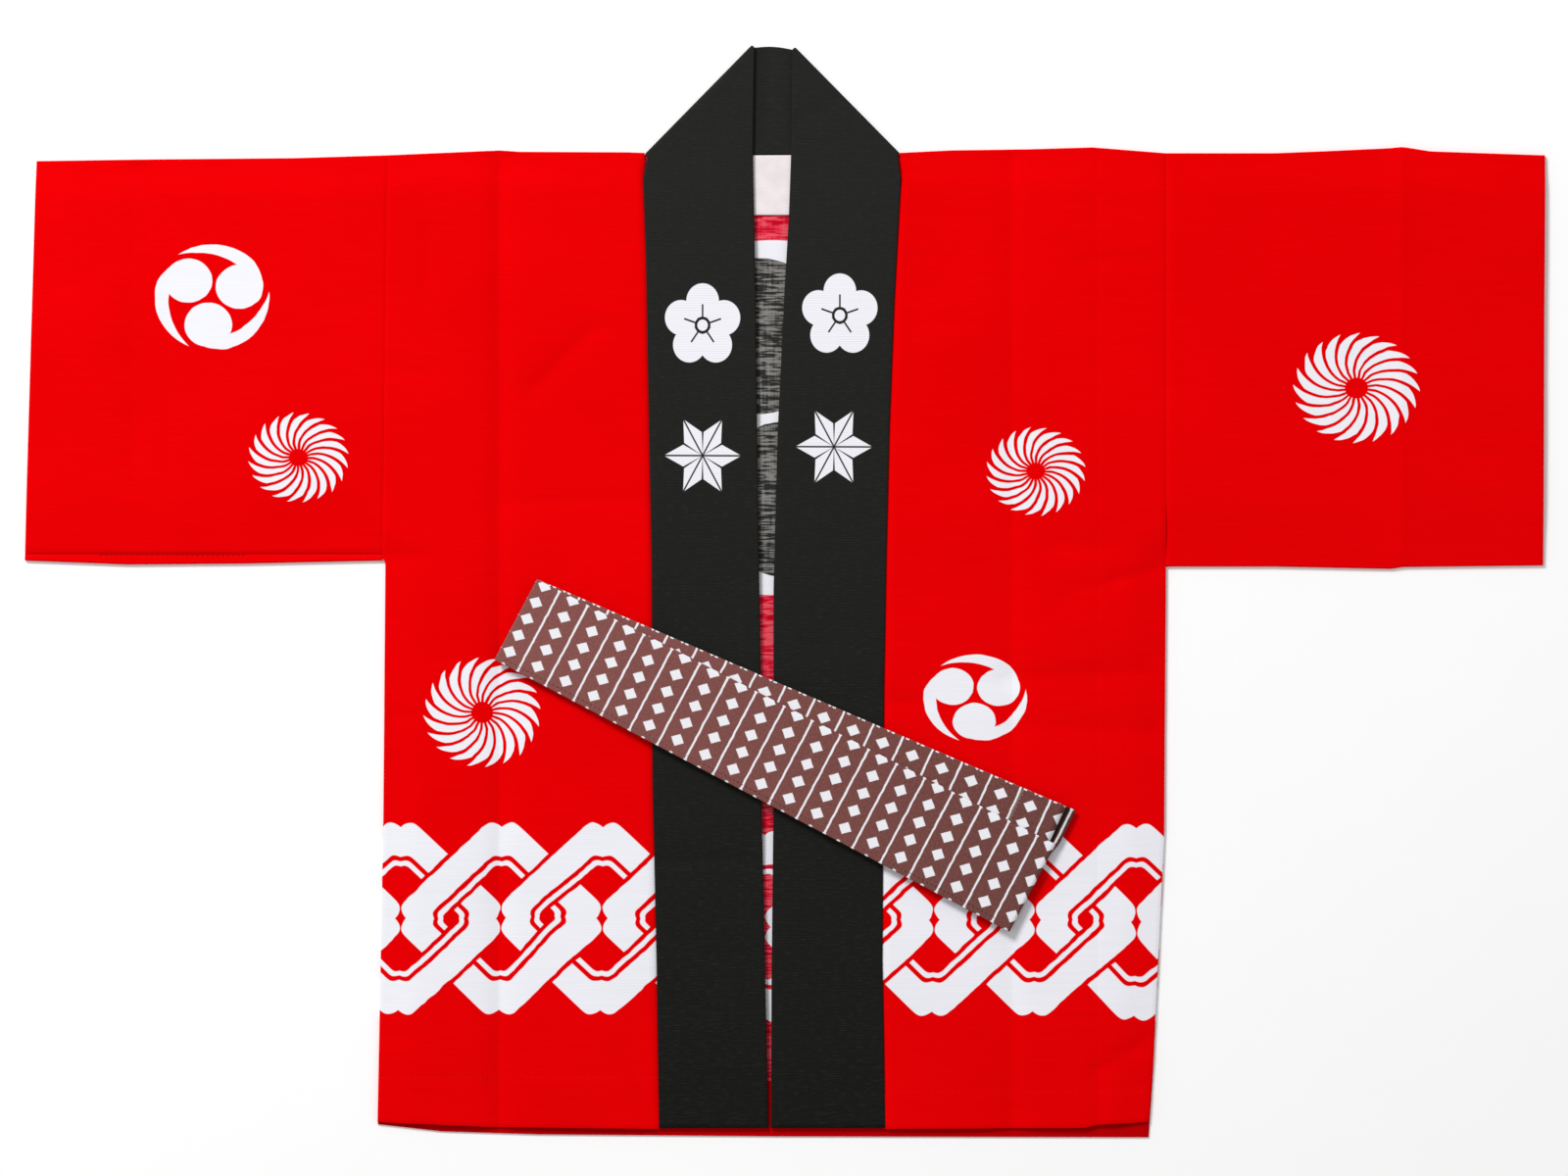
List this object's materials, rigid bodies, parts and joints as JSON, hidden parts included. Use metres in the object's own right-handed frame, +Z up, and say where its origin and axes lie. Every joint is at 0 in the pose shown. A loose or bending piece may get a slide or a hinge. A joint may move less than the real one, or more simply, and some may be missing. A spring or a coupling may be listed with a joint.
{
  "type": "child's happi coat laid flat with its folded belt",
  "caption": "Open-fronted festival coat with straight sleeves and a doubled collar band, laid flat with its belt folded across the fronts.",
  "frame": {"origin": "middle of the coat's outline, on the surface that it lies on", "axes": "+X towards the wearer's left sleeve, +Y from the hem to the collar, +Z up from the surface"},
  "size_m": [0.9622, 0.6916, 0.0101],
  "materials": {
    "red_cotton": "slubbed cotton printed in white, matt",
    "black_cotton": "slubbed cotton, matt",
    "white_tape": "woven tape, matt",
    "brown_cotton": "plain cotton printed in white, matt"
  },
  "bodies": {
    "root": {"body": "red_cotton", "sleeve_right": "red_cotton", "sleeve_left": "red_cotton", "collar": "black_cotton", "label": "white_tape", "belt": "brown_cotton"}
  },
  "joints": []
}
